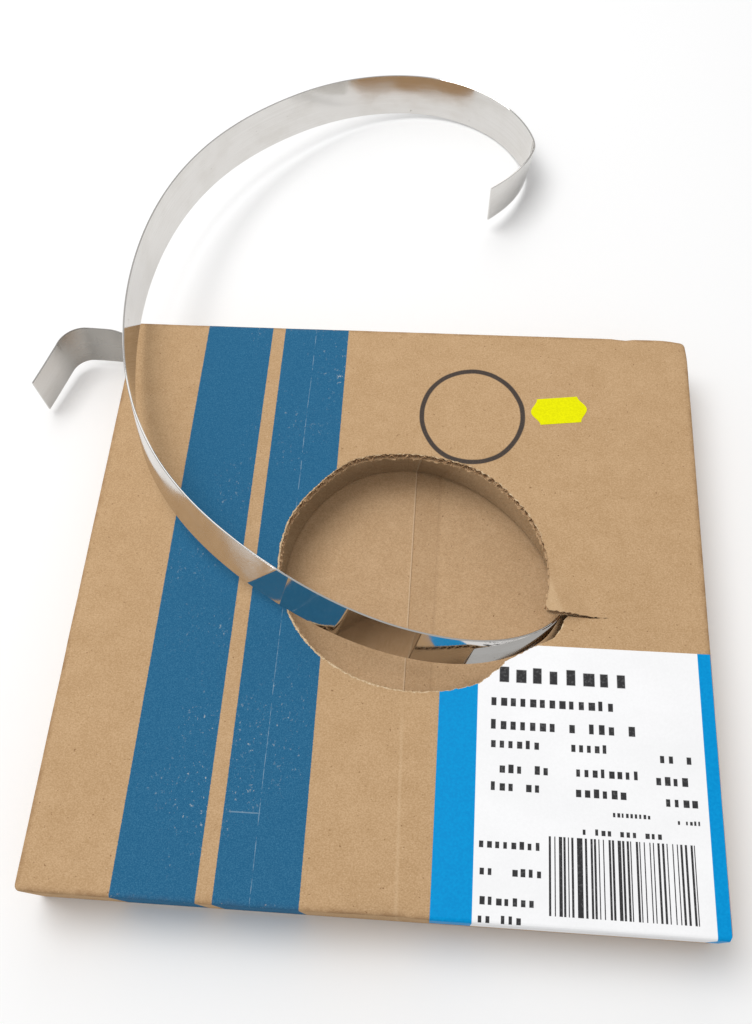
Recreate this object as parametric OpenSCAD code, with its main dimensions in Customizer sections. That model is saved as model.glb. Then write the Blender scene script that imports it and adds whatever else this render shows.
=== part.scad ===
// Flat square carton of corrugated board with a coil of stainless band in it.
// The coil's inner end is pulled out through the torn hole in the top and lies behind the carton
// in a wide loop; its outer end leaves through a slot in the left wall and is bent into a short hook.
// Millimetres, +Z up, floor at z = 0, carton centred on the origin.

/* [Band] */
// width of the steel band, and so the height of the coil
band_w = 19.05; // [12:0.05:26]
// thickness of the steel band
band_t = 0.76; // [0.4:0.02:1.2]
// bore of the tight coil as a share of its outside diameter
bore_share = 0.611; // [0.5:0.001:0.66]

/* [Carton] */
// outside length of each side of the square carton
carton_w = 228; // [222:1:236]
// thickness of the corrugated board
board_t = 3; // [2:0.1:4]
// radius of the folded upright edges
fold_r = 2; // [1:0.5:5]
// room between the coil and the carton walls, on each side
coil_gap = 1; // [0.5:0.1:3]
// room between the top of the coil and the top panel
lid_gap = 1.2; // [0.8:0.1:3]

/* [Torn hole] */
// how far the top panel reaches inwards past the coil's bore, all round the hole
hole_lap = 18.5; // [14:0.1:26]
// hole centre, right of the carton's middle
hole_x = 8.5; // [0:0.5:12]
// hole centre, behind the carton's middle
hole_y = 7.7; // [0:0.1:12]
// how far the torn notch reaches beyond the hole's edge
notch_out = 9.5; // [6:0.5:14]
// how steeply the torn flap is pushed up by the band, in degrees
flap_lift = 17; // [8:1:30]
// where the tear leaves the hole's edge, in degrees in front of its right side
tear_from = 20.4; // [15:0.1:25]

/* [Free end] */
// length of loose band, from the coil's bore to the cut tip, in carton sides
loose_share = 4.1228; // [4:0.001:4.2]
// turn of the bend where the band leaves the tear, in degrees
tear_angle = 34.9; // [25:0.1:45]
// turn of the bend near the tip, in degrees
tip_angle = 23.3; // [10:0.1:40]
// distance of that bend from the tip
tip_reach = 38; // [25:1:55]

/* [Hook] */
// how far the outer end runs out of the left wall before it bends
hook_out = 23; // [14:0.5:40]
// inside radius of the hook's bend
hook_r = 9; // [4:0.5:16]
// turn of the hook, in degrees
hook_angle = 71.5; // [30:0.5:100]
// straight length after the bend
hook_leg = 20.5; // [8:0.5:40]
// how far the hook's upper edge leans back at the bend, in degrees
hook_lean = 9; // [0:0.5:15]
// how far the hook's lower edge is lifted at the bend
hook_rise = 1.3; // [0:0.1:3]
// room left around the band in the wall slot
slot_gap = 0.7; // [0.4:0.1:2]

/* [Labels] */
// thickness of the label and sticker paper
paper_t = 0.15; // [0.1:0.05:0.4]
// distance of the label's left edge right of the carton's middle
label_x = 20.3; // [10:0.5:30]
// length of the label on the top panel, from the front edge
label_len = 93; // [80:0.5:98]
// height of the label's fold down the front wall
label_drop = 17; // [8:0.5:22]
// price sticker length
sticker_l = 22; // [16:0.5:26]
// price sticker width
sticker_w = 12; // [10:0.5:16]
// middle of the sticker from the carton's right side
sticker_in = 51.7; // [40:0.1:70]
// middle of the sticker from the carton's back
sticker_down = 36.4; // [25:0.1:45]

/* [Hidden] */
$fn = 96;

half = carton_w / 2;
seat = board_t;
carton_h = 2 * board_t + band_w + lid_gap;
coil_od = carton_w - 2 * board_t - 2 * coil_gap;
coil_bore = coil_od * bore_share;
hole_r = coil_bore / 2 - hole_lap;
strip_len = carton_w * loose_share;

// Loose strip: one row at each sixteenth of its length.
// Degrees that it turns in a sixteenth, rise of its middle line in band widths, lean of its face in degrees.
turn = [77.2, 55.6, 67.5, 46.9, 85.4, 37.0, 75.0, 30.9, 18.5, 33.0, 14.5, 17.0, 26.0, 21.3, 50.5, 67.6, 52.8];
rise = [0, 0, 0, 0, 0, 0, 0.115, 0.892, 1.512, 1.748, 1.57, 1.244, 0.835, 0.394, -0.026, -0.163, 0.173];
lean = [0, 0, 0, 0, 0, 0, -6, 10, 15, 11, 0, -6, -10, -13, -16, -14, 1];
leave = 1;                     // where the strip leaves the bore, degrees from +X
tear_at = 0.3691 * strip_len;  // middle of the bend at the tear, along the strip
tear_len = 0.0383 * strip_len; // length of strip in that bend
tip_len = 0.0106 * strip_len;  // length of strip in the bend near the tip
steps = 234;
ds = strip_len / steps;
last = len(turn) - 1;
strip_mid = seat + band_w / 2 + 0.2;

function ease(t) = let(u = min(max(t, 0), 1)) u * u * (3 - 2 * u);
function smooth(list, x) =
    let(i = min(floor(x), last - 1), t = x - i,
        a = list[max(i - 1, 0)], b = list[i], c = list[i + 1], d = list[min(i + 2, last)])
    b + t / 2 * (c - a + t * (2 * a - 5 * b + 4 * c - d + t * (3 * (b - c) + d - a)));
function row(i) = min(max(i / steps, 0), 1) * last;
function bend_rate(i) = lookup(row(i), [for (k = [0 : last]) [k, turn[k]]]) * last / strip_len;
function named_bends(i) =
    tear_angle * ease((i * ds - tear_at) / tear_len + 0.5)
    + tip_angle * ease((i * ds - strip_len + tip_reach) / tip_len + 0.5);
function turn_step(i) = bend_rate(i + 0.5) * ds + named_bends(i + 1) - named_bends(i);
function mid_z(i) = let(r = smooth(rise, row(i))) strip_mid + band_w * (i > steps / 2 ? r : max(0, r));
function climb(i) =
    let(a = max(i - 0.5, 0), b = min(i + 0.5, steps)) asin((mid_z(b) - mid_z(a)) / ((b - a) * ds));
turned = [for (i = 0, t = leave - 90; i <= steps; t = t - turn_step(i), i = i + 1) t];
function go(i) = let(h = (turned[i] + turned[min(i + 1, steps)]) / 2)
    ds * cos(climb(i + 0.5)) * [cos(h), sin(h)];
bore_start = (coil_bore / 2 - band_t) * [cos(leave), sin(leave)];
path = [for (i = 0, p = bore_start; i <= steps; p = p + go(i), i = i + 1) p];

// The band's section: across its width at a lean, and its four corners about the middle m.
function leant(along, up, l) = cos(l) * up + sin(l) * cross(along, up);
function corners(m, along, across) =
    let(face = cross(along, across))
    [for (s = [[-1, -1], [1, -1], [1, 1], [-1, 1]]) m + s.x * band_w / 2 * across + s.y * band_t / 2 * face];

// Section of the loose strip at step i, moved back along the strip where asked.
function section(i, back = 0) =
    let(h = turned[i], c = climb(i),
        along = [cos(c) * cos(h), cos(c) * sin(h), sin(c)],
        up = [-sin(c) * cos(h), -sin(c) * sin(h), cos(c)])
    corners([path[i].x, path[i].y, mid_z(i)] - back * along, along, leant(along, up, smooth(lean, row(i))));

module sweep(rings) {
    n = len(rings);
    sides = [for (i = [0 : n - 2], k = [0 : 3])
        let(a = 4 * i + k, b = 4 * i + (k + 1) % 4) each [[a, b + 4, b], [a, a + 4, b + 4]]];
    ends = [[0, 1, 2], [0, 2, 3], [4 * n - 2, 4 * n - 3, 4 * n - 4], [4 * n - 1, 4 * n - 2, 4 * n - 4]];
    polyhedron([for (r = rings) each r], concat(sides, ends));
}

module loose_strip() {
    first = 5;
    sweep(concat([section(first, 24)], [for (i = [first : steps]) section(i)]));
}

module coil() {
    rotate_extrude($fn = 180) translate([coil_bore / 2, seat]) square([(coil_od - coil_bore) / 2, band_w]);
}

// Outer end: a straight run along the back wall, one bend and the cut leg.
// Out of the wall it twists back and lifts, and it settles again towards its tip.
hook_y = coil_od / 2 - 0.1;
hook_z = seat + 0.1;
hook_mid_r = hook_r + band_t / 2;
hook_arc = hook_mid_r * hook_angle * PI / 180;
function hook_section(s) =
    let(a = min(max(s - hook_out, 0), hook_arc) / hook_arc,
        h = 180 + hook_angle * a,
        along = [cos(h), sin(h), 0],
        straight = min(s, hook_out) * [-1, 0] + max(s - hook_out - hook_arc, 0) * [along.x, along.y],
        bend = hook_mid_r * [sin(h), -1 - cos(h)],
        lift = hook_rise * ease(s / hook_out) * (1 - ease((s - hook_out) / (hook_arc + hook_leg))),
        across = leant(along, [0, 0, 1], hook_lean * ease(s / hook_out * 1.8) * (1 - a / 2)),
        foot = straight + bend + [-half, hook_y - band_t / 2])
    corners([foot.x, foot.y, hook_z + lift] + band_w / 2 * across, along, across);

module hook() {
    twist = [for (k = [0 : 8]) hook_out * k / 8];
    bend = [for (k = [1 : 12]) hook_out + hook_arc * k / 12];
    leg = [for (k = [1 : 4]) hook_out + hook_arc + hook_leg * k / 4];
    sweep([for (s = concat([-half - 6], twist, bend, leg)) hook_section(s)]);
}

module steel_band() {
    color([0.78, 0.78, 0.77]) union() {
        coil();
        loose_strip();
        hook();
    }
}

module slab(w, h, r) {
    translate([-w / 2 + r, -w / 2, 0]) cube([w - 2 * r, w, h]);
    translate([-w / 2, -w / 2 + r, 0]) cube([w, w - 2 * r, h]);
    for (x = [-1, 1], y = [-1, 1]) translate([x * (w / 2 - r), y * (w / 2 - r), 0]) cylinder(r = r, h = h);
}

// The tear: a notch pulled out of the hole's edge, and a three-cornered flap behind it.
tear_y = hole_y - hole_r * sin(tear_from);
flap_a = [hole_x + hole_r * cos(14.5), hole_y + hole_r * sin(14.5)];
flap_b = [hole_x + hole_r * 1.448, tear_y];
flap_c = [hole_x + hole_r * (cos(tear_from) - 0.03), tear_y];
hinge = atan2(flap_b.y - flap_a.y, flap_b.x - flap_a.x);

module notch() {
    reach = hole_r + notch_out;
    polygon([[hole_x, hole_y], [flap_c.x, tear_y], [hole_x + hole_r + 0.7 * notch_out, tear_y],
        for (a = [-22, -26, -31, -37, -43], r = reach - max(0, -30 - a) * 0.6)
            [hole_x, hole_y] + r * [cos(a), sin(a)]]);
}
module hole_plan() {
    translate([hole_x, hole_y]) circle(r = hole_r);
    notch();
}
module flap_plan(root = 0) {
    into = root * [-sin(hinge), cos(hinge)];
    polygon([flap_a + into, flap_b + into, flap_c]);
}

module carton() {
    color([0.76, 0.62, 0.46]) {
        difference() {
            slab(carton_w, carton_h, fold_r);
            translate([0, 0, board_t]) slab(carton_w - 2 * board_t, carton_h - 2 * board_t, fold_r / 2);
            translate([0, 0, carton_h - board_t - 1]) linear_extrude(board_t + 2) {
                hole_plan();
                flap_plan();
            }
            translate([-half - 1, hook_y - band_t - slot_gap, seat - 0.3])
                cube([board_t + 2, band_t + 2 * slot_gap, band_w + 0.3 + slot_gap]);
        }
        translate([flap_a.x, flap_a.y, carton_h - board_t]) rotate(hinge) rotate([-flap_lift, 0, 0])
            linear_extrude(board_t) rotate(-hinge) translate(-flap_a) flap_plan(1.2);
    }
}

module product_label() {
    color([0.95, 0.95, 0.95]) {
        difference() {
            translate([label_x, -half - paper_t, carton_h])
                cube([half - label_x - 0.5, label_len + paper_t, paper_t]);
            translate([0, 0, carton_h - 1]) linear_extrude(3) hole_plan();
        }
        translate([label_x, -half - paper_t, carton_h - label_drop])
            cube([half - label_x - fold_r, paper_t, label_drop + 0.01]);
    }
}

module price_sticker() {
    p = sticker_w * 0.28;
    color([0.97, 0.95, 0.1]) translate([half - sticker_in, half - sticker_down, carton_h]) rotate(7)
        linear_extrude(paper_t) polygon([[-sticker_l / 2, 0], [-sticker_l / 2 + p, sticker_w / 2],
            [sticker_l / 2 - p, sticker_w / 2], [sticker_l / 2, 0],
            [sticker_l / 2 - p, -sticker_w / 2], [-sticker_l / 2 + p, -sticker_w / 2]]);
}

carton();
steel_band();
product_label();
price_sticker();
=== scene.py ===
import math

import bmesh
import bpy
import numpy as np
from mathutils import Matrix, Vector, noise


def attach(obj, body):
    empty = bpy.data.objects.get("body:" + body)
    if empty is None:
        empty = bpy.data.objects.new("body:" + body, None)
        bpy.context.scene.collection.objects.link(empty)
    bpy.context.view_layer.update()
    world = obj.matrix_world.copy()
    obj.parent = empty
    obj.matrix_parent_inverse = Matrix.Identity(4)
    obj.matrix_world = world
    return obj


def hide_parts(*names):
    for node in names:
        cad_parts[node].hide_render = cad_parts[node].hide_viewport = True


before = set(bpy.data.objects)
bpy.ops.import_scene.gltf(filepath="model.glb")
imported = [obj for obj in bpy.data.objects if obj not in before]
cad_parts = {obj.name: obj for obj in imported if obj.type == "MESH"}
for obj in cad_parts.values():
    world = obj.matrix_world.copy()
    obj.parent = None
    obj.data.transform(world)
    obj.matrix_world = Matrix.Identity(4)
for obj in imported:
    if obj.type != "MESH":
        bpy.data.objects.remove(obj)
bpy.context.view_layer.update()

# Carton: a flat square box folded from brown corrugated board, its folds pressed round and its rim a little
# crushed. The finger hole in its top was pushed out along perforations, so its ragged edge shows both papers
# and the flutes between them.
mm = 0.001
side, tall = 228 * mm, 26.25 * mm
board, liner = 3 * mm, 0.45 * mm
fold, rim_r = 2 * mm, 1.1 * mm
front_lean, front_reach = 1.8 * mm, 2.4 * mm
hole, hole_r = Vector((8.5 * mm, 7.7 * mm)), 48.71 * mm
cutter_past = 1 * mm


def start_piece():
    """Leaves edit mode and deselects everything."""
    if bpy.context.object and bpy.context.object.mode == "EDIT":
        bpy.ops.object.mode_set(mode="OBJECT")
    bpy.ops.object.select_all(action="DESELECT")


def pick(obj, kind, test):
    """In edit mode, selects the vertices, edges or faces of obj that pass the test, and nothing else."""
    bpy.ops.mesh.select_mode(type=kind)
    bpy.ops.mesh.select_all(action="DESELECT")
    mesh = bmesh.from_edit_mesh(obj.data)
    for item in {"VERT": mesh.verts, "EDGE": mesh.edges, "FACE": mesh.faces}[kind]:
        if test(item):
            item.select_set(True)
    mesh.select_flush_mode()
    bmesh.update_edit_mesh(obj.data)


def block(low, high):
    """A box between two corners, with its place in its mesh."""
    start_piece()
    low, high = Vector(low), Vector(high)
    bpy.ops.mesh.primitive_cube_add(size=1, location=(low + high) / 2)
    made = bpy.context.object
    made.scale = high - low
    bpy.ops.object.transform_apply(location=True, rotation=True, scale=True)
    return made


def prism(outline, low, high):
    """An upright punch with the given outline."""
    start_piece()
    bpy.ops.mesh.primitive_circle_add(vertices=len(outline), radius=1, fill_type="NGON")
    made = bpy.context.object
    for v, p in zip(made.data.vertices, outline):
        v.co = (p[0], p[1], low)
    bpy.ops.object.mode_set(mode="EDIT")
    bpy.ops.mesh.select_all(action="SELECT")
    bpy.ops.mesh.extrude_region_move(TRANSFORM_OT_translate={"value": (0, 0, high - low)})
    bpy.ops.mesh.select_all(action="SELECT")
    bpy.ops.mesh.normals_make_consistent(inside=False)
    bpy.ops.object.mode_set(mode="OBJECT")
    return made


def carve(obj, tool):
    """Cuts a tool out of a piece and throws the tool away."""
    cut = obj.modifiers.new("cut", "BOOLEAN")
    cut.operation, cut.solver, cut.object = "DIFFERENCE", "EXACT", tool
    bpy.context.view_layer.objects.active = obj
    bpy.ops.object.modifier_apply(modifier=cut.name)
    bpy.data.objects.remove(tool)


def places(obj):
    """The places of a mesh's vertices, one row each."""
    co = np.empty(len(obj.data.vertices) * 3)
    obj.data.vertices.foreach_get("co", co)
    return co.reshape(-1, 3)


def set_places(obj, co):
    obj.data.vertices.foreach_set("co", np.ascontiguousarray(co, dtype=np.float64).ravel())
    obj.data.update()


def lean_front(co):
    """The front wall stands in a little at its foot."""
    front = co[:, 1] < -side / 2 + front_reach
    co[front, 1] += front_lean * (1 - co[front, 2] / tall)
    return co


def wander(a, b, seed):
    """A smooth uneven value, the same at each run."""
    return noise.noise(Vector((a, b, seed)))


# The hole's torn edge: its radius at each 20 degrees from the left side round by the front, in millimetres.
edge_radius = [49.5, 48.4, 48.0, 47.3, 47.3, 48.2, 50.2, 48.7, 50.2, 49.6,
               48.6, 47.1, 47.1, 46.4, 47.7, 50.6, 49.6, 50.3, 49.5]
# Perforations: their spacing in millimetres, where they ripped deepest, in degrees from the left side, and
# how far that reaches. The top paper peeled most at the front left, in degrees from the right by the back.
perforation = 3.3
ripped_at, ripped_reach = 235, 50
peeled_at = 215
tear_y = -9.28 * mm
hinge_a = Vector((55.66 * mm, 19.90 * mm))
hinge_b = Vector((79.03 * mm, tear_y))
hinge_dir = (hinge_b - hinge_a).normalized()
hinge_in = Vector((hinge_dir.y, -hinge_dir.x))
flap_bend, flap_slope = 5 * mm, 0.322


def edge_point(deg, seed, out, rag, front=0.0):
    """A point of the torn edge: out widens it all round, front at one side, and rag roughens it."""
    way = math.radians(deg)
    along = way * hole_r / mm
    from_left = (deg + 180) % 360
    r = np.interp(from_left, np.arange(0, 361, 20), edge_radius)
    pulled = 0.12 + 0.4 * math.exp(-((from_left - ripped_at) / ripped_reach) ** 2)
    scallop = abs(math.sin(math.pi * (along + 1.2 * wander(along * 0.1, 5, seed)) / perforation))
    r += out + front * max(0.0, math.cos(math.radians(deg - peeled_at))) + pulled * scallop - 0.1
    coarse, middling = 0.8 * wander(along * 0.35, 0, seed), 0.5 * wander(along * 1.3, 3, seed)
    r += rag * (coarse + middling + 0.35 * wander(along * 3.1, 6, seed))
    return hole + Vector((math.cos(way), math.sin(way))) * r * mm


def ragged(points, seed, rag, step=0.7):
    """Points along a torn line, each stepped aside by a little."""
    out = []
    for a, b in zip(points, points[1:]):
        a, b = Vector(a), Vector(b)
        n = max(1, round((b - a).length / step))
        aside = Vector((a.y - b.y, b.x - a.x)).normalized()
        for k in range(n):
            p = a + (b - a) * k / n
            out.append((p + aside * rag * wander(p.x * 0.9, p.y * 0.9, seed)) * mm)
    return out


def hole_outline(seed, out=0.0, rag=0.45, flap_too=False, front=0.0):
    """The torn outline: the round part, the notch and the tear, with or without the room under the flap."""
    round_part = [edge_point(a, seed, out, rag, front) for a in np.arange(14.5, 313.6, 0.4)]
    wide = max(out, 0)
    notch = ragged([(42.6, -27.5), (51, -22.6), (59.7 + wide, -17.8), (62.2 + wide, -14.3),
                    (63.6 + wide, -10.2)], seed, rag)
    if flap_too:
        tear = ragged([(64.7, -9.2), (72.4, -9.7), (79.03, -9.28)], seed, 0.5 * rag)
        return round_part + notch + tear + [hinge_b, hinge_a]
    tear = ragged([(63.4, -9.3), (60, -9.1), (57, -9.4)], seed, rag)
    return round_part + notch + tear + [edge_point(a, seed, out, rag) for a in np.arange(-17.5, 14.2, 0.55)]


def inside(outline, x, y):
    """Which of the points lie inside a closed outline."""
    found = np.zeros(x.shape, bool)
    for p, q in zip(outline, outline[1:] + outline[:1]):
        crosses = (p[1] > y) != (q[1] > y)
        found ^= crosses & (x < (q[0] - p[0]) * (y - p[1]) / ((q[1] - p[1]) or 1e-12) + p[0])
    return found


def flap_rise(x, y):
    """How far the torn flap is pushed up, from its bend line to its loose corner."""
    d = (x - hinge_a.x) * hinge_in.x + (y - hinge_a.y) * hinge_in.y
    d = np.maximum(d, 0)
    return flap_slope * np.where(d < flap_bend, d * d / (2 * flap_bend), d - flap_bend / 2)


# Body of the box, folded edges pressed round.
carton = block((-side / 2, -side / 2, 0), (side / 2, side / 2, tall))
carton.name = carton.data.name = "carton_board"
bpy.ops.object.mode_set(mode="EDIT")
for axis in (0, 1):
    pick(carton, "EDGE", lambda e: abs((e.verts[1].co - e.verts[0].co).normalized()[axis]) > 0.9)
    bpy.ops.mesh.subdivide(number_cuts=75)
pick(carton, "EDGE", lambda e: abs(e.verts[0].co.z - e.verts[1].co.z) > tall / 2
     and min(abs(e.verts[0].co.x), abs(e.verts[0].co.y)) > side / 2 - 0.1 * mm)
bpy.ops.mesh.bevel(offset=fold, segments=4, affect="EDGES")
for height in (tall, 0):
    pick(carton, "EDGE", lambda e: all(abs(v.co.z - height) < 1e-6 for v in e.verts)
         and len(e.link_faces) == 2
         and abs(abs(e.link_faces[0].normal.z) - abs(e.link_faces[1].normal.z)) > 0.5)
    bpy.ops.mesh.bevel(offset=rim_r, segments=3, affect="EDGES")
bpy.ops.object.mode_set(mode="OBJECT")

# Handling has pressed the rim in: a long crush at the front, a nick at the back and a blunted back corner.
rim_depth, rim_in = 6 * mm, 1.7 * mm
crush_x, crush_half = 5 * mm, 13 * mm
nick_x, nick_half = 88.9 * mm, 2.2 * mm
blunt_r = 6 * mm
co = places(carton)
for i, (x, y, z) in enumerate(co):
    rim = max(0.0, 1 - (tall - z) / rim_depth)
    if max(abs(x), abs(y)) < side / 2 - rim_in or not rim:
        continue
    along = x if abs(y) > abs(x) else y
    press = 0.13 * (0.5 + wander(along * 60, 0.3 * (x > 0) + 0.7 * (y > 0), 5))
    if y < -side / 2 + 3 * mm:
        press += 0.9 * math.exp(-((x - crush_x) / crush_half) ** 4) * (0.75 + 0.5 * wander(x * 240, 1, 2))
    if y > side / 2 - 3 * mm:
        press += 0.7 * math.exp(-((x - nick_x) / nick_half) ** 2)
    corner = math.hypot(x - side / 2, y - side / 2)
    press += 1.2 * math.exp(-(corner / blunt_r) ** 2)
    press = max(press, 0) * mm * rim
    co[i] -= np.array((x, y, 0)) / math.hypot(x, y) * press * 0.6 + np.array((0, 0, press * 0.8))
set_places(carton, lean_front(co))

# The room inside, the lower floor panel right of the seam, and the slot that the outer end leaves by.
inner = side / 2 - board
carve(carton, block((-inner, -inner, board), (inner, inner, tall - board)))
seam_x = 7.2 * mm
carve(carton, block((seam_x, -inner, board - liner), (inner, inner, board + cutter_past)))
hook_in, hook_play = 0.1 * mm, 0.1 * mm
slot_y = 110 * mm - hook_in
slot_from, slot_to = slot_y - 1.46 * mm, slot_y + 0.7 * mm
slot_low, slot_high = 2.7 * mm, 22.75 * mm
slot_cutter = block((-side / 2 - cutter_past, slot_from, slot_low),
                    (-inner + cutter_past, slot_to, slot_high))
carve(carton, slot_cutter)

# The hole: punched through, then the hollow between the papers, then each paper with its own torn line.
paper_cut = 0.2 * mm
top_under = tall - board
punched = [edge_point(a, 0, -6, 0) for a in range(0, 360, 5)]
carve(carton, prism(punched, top_under - cutter_past, tall + cutter_past))
hollow = [edge_point(a, 0, 8, 0) for a in np.arange(14.5, 310, 3)]
hollow += [Vector(p) * mm for p in ((50, -37), (64, -31), (78, -20), (82, -13))] + [hinge_b]
carve(carton, prism(hollow, top_under + liner, tall - liner))
carve(carton, prism(hole_outline(11, flap_too=True), tall - liner - paper_cut, tall + cutter_past))
peel = 0.1 * mm
peeled_line = hole_outline(53, out=0.2, rag=0.6, flap_too=True, front=0.45)
carve(carton, prism(peeled_line, tall - peel, tall + cutter_past))
lower_line = hole_outline(23, out=-0.55, rag=1.1, flap_too=True)
carve(carton, prism(lower_line, top_under - cutter_past, top_under + liner + paper_cut))

# Two papers of the torn flap, which bends up along a line behind the tear.
flap_x, flap_y, flap_wide, flap_deep = 66, 5.5, 32, 33
flap_low, flap_high = tall - 8 * mm, tall + 12 * mm
flap_sheets = []
for seed, top, out in ((11, tall, 0), (23, top_under + liner, -0.2)):
    start_piece()
    bpy.ops.mesh.primitive_grid_add(x_subdivisions=64, y_subdivisions=66, size=1)
    sheet = bpy.context.object
    co = places(sheet)
    x, y = (flap_x + flap_wide * co[:, 0]) * mm, (flap_y + flap_deep * co[:, 1]) * mm
    lift = flap_rise(x, y)
    curl = 0.25 * mm * np.array([wander(a * 300, b * 300, seed) for a, b in zip(x, y)])
    set_places(sheet, np.column_stack([x, y, top + lift + curl * np.minimum(lift / (2 * mm), 1)]))
    thick = sheet.modifiers.new("paper", "SOLIDIFY")
    thick.thickness, thick.offset = liner, -1
    bpy.ops.object.modifier_apply(modifier=thick.name)
    bpy.ops.object.mode_set(mode="EDIT")
    bpy.ops.mesh.select_all(action="SELECT")
    bpy.ops.mesh.bisect(plane_co=(hinge_a.x, hinge_a.y, 0), plane_no=(hinge_in.x, hinge_in.y, 0),
                        clear_inner=True, use_fill=True)
    bpy.ops.object.mode_set(mode="OBJECT")
    carve(sheet, prism(hole_outline(seed, out), flap_low, flap_high))
    torn_front = [(82, -9.2), (79, -9.1), (72.4, -9.5 + out), (66, -8.8 - out), (61, -9.0 + out), (50, -9.2)]
    torn_front = ragged(torn_front, seed + 1, 0.6) + [Vector((50, -20)) * mm, Vector((82, -20)) * mm]
    carve(sheet, prism(torn_front, flap_low, flap_high))
    flap_sheets.append(sheet)

# Fluted paper between them, wave by wave, torn between the lines of the two flat papers.
flute, wave = 3.2 * mm, (board - 2 * liner) / 2 - 0.12 * mm
flute_paper, tear_half = 0.2 * mm, 0.9 * mm
flutes_x, flutes_y, flutes_wide, flutes_deep = 14, 7, 136, 124
start_piece()
bpy.ops.mesh.primitive_grid_add(x_subdivisions=330, y_subdivisions=160, size=1)
flutes = bpy.context.object
co = places(flutes)
x, y = (flutes_x + flutes_wide * co[:, 0]) * mm, (flutes_y + flutes_deep * co[:, 1]) * mm
on_flap = inside([hinge_a, hinge_b, Vector((52.6 * mm, tear_y))], x, y) & (y > tear_y)
z = tall - board / 2 + wave * np.sin(2 * math.pi * x / flute) + np.where(on_flap, flap_rise(x, y), 0)
set_places(flutes, np.column_stack([x, y, z]))
cut_back = hole_outline(37, out=-0.2, rag=0.8)
flap_plan = [hinge_a, hinge_b, Vector((50 * mm, tear_y))]
bpy.ops.object.mode_set(mode="EDIT")
mesh = bmesh.from_edit_mesh(flutes.data)
mesh.faces.ensure_lookup_table()
mid = np.array([f.calc_center_median()[:2] for f in mesh.faces])
x, y = mid[:, 0], mid[:, 1]
keep = (inside(hollow, x, y) | inside(flap_plan, x, y)) & ~inside(cut_back, x, y)
keep &= ~((np.abs(y - tear_y) < tear_half) & (x > 50 * mm) & (x < 80 * mm))
bpy.ops.mesh.select_mode(type="FACE")
bpy.ops.mesh.select_all(action="DESELECT")
for f, stays in zip(mesh.faces, keep):
    f.select_set(not stays)
bmesh.update_edit_mesh(flutes.data)
bpy.ops.mesh.delete(type="FACE")
bpy.ops.object.mode_set(mode="OBJECT")
thick = flutes.modifiers.new("paper", "SOLIDIFY")
thick.thickness, thick.offset = flute_paper, 0
bpy.ops.object.modifier_apply(modifier=thick.name)


def node(tree, kind, settings=None, **inputs):
    """Adds a node; an input is a number, a colour or another node's output. i0 and i1 go by their order."""
    made = tree.nodes.new("ShaderNode" + kind)
    for name, value in (settings or {}).items():
        setattr(made, name, value)
    for name, value in inputs.items():
        socket = made.inputs[int(name[1:])] if name[1:].isdigit() else made.inputs[name.replace("_", " ")]
        if isinstance(value, bpy.types.NodeSocket):
            tree.links.new(value, socket)
        else:
            socket.default_value = value
    return made.outputs


def calc(tree, op, a, b=0.0, c=0.0):
    return node(tree, "Math", {"operation": op}, i0=a, i1=b, i2=c)[0]


def times(tree, a, b):
    return calc(tree, "MULTIPLY", a, b)


def plus(tree, a, b):
    return calc(tree, "ADD", a, b)


def less(tree, a, b):
    return calc(tree, "SUBTRACT", a, b)


def ramp(tree, value, low, high, to_low=0.0, to_high=1.0):
    """A soft step from one value to another as value goes from low to high."""
    return node(tree, "MapRange", {"interpolation_type": "SMOOTHSTEP"}, Value=value, From_Min=low,
                From_Max=high, To_Min=to_low, To_Max=to_high)[0]


def between(tree, value, low, high, soft=0.12 * mm):
    """One between low and high and nothing elsewhere, with soft ends."""
    up = ramp(tree, value, low - soft, low + soft)
    return times(tree, up, ramp(tree, value, high - soft, high + soft, 1, 0))


def tint(tree, amount, a, b):
    """Colour a turning into colour b."""
    return node(tree, "Mix", {"data_type": "RGBA"}, i0=amount, i6=a, i7=b)[2]


def grain(tree, coords, stretch, detail=3.0, rough=0.55):
    """Noise whose cells are stretched by a scale for each axis."""
    spread = node(tree, "Mapping", Vector=coords, Scale=stretch)[0]
    return node(tree, "TexNoise", Vector=spread, Scale=1.0, Detail=detail, Roughness=rough)[0]


def new_finish(name):
    made = bpy.data.materials.new(name)
    made.use_nodes = True
    tree = made.node_tree
    return made, tree, tree.nodes["Principled BSDF"].inputs


def rgb(r, g, b):
    """A colour as seen, as the shader wants it."""
    linear = [((c / 255 + 0.055) / 1.055) ** 2.4 if c > 10 else c / 255 / 12.92 for c in (r, g, b)]
    return (*linear, 1.0)


kraft_light, kraft_mid, kraft_dark = rgb(203, 170, 132), rgb(176, 142, 103), rgb(130, 96, 64)


def kraft(tree, lighter=kraft_light, darker=kraft_mid):
    """Brown paper: fibres, clouds, dark and pale flecks. Gives its coordinates, colour and relief."""
    at = node(tree, "TexCoord")[3]
    fibres = grain(tree, at, (1800, 2200, 2200), 3.0, 0.65)
    clouds = grain(tree, at, (110, 140, 140), 4.0, 0.6)
    tone = calc(tree, "MULTIPLY_ADD", fibres, 0.85, times(tree, clouds, 0.22))
    colour = tint(tree, ramp(tree, tone, 0.32, 0.77), darker, lighter)
    flecks = grain(tree, at, (850, 1000, 1000), 2.0, 0.5)
    colour = tint(tree, ramp(tree, flecks, 0.69, 0.76, 0, 0.75), colour, kraft_dark)
    pale = grain(tree, at, (1150, 1300, 1300), 2.0, 0.5)
    colour = tint(tree, ramp(tree, pale, 0.70, 0.78, 0, 0.5), colour, rgb(228, 206, 176))
    relief = calc(tree, "MULTIPLY_ADD", fibres, 0.7, times(tree, flecks, 0.4))
    return at, colour, relief


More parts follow.
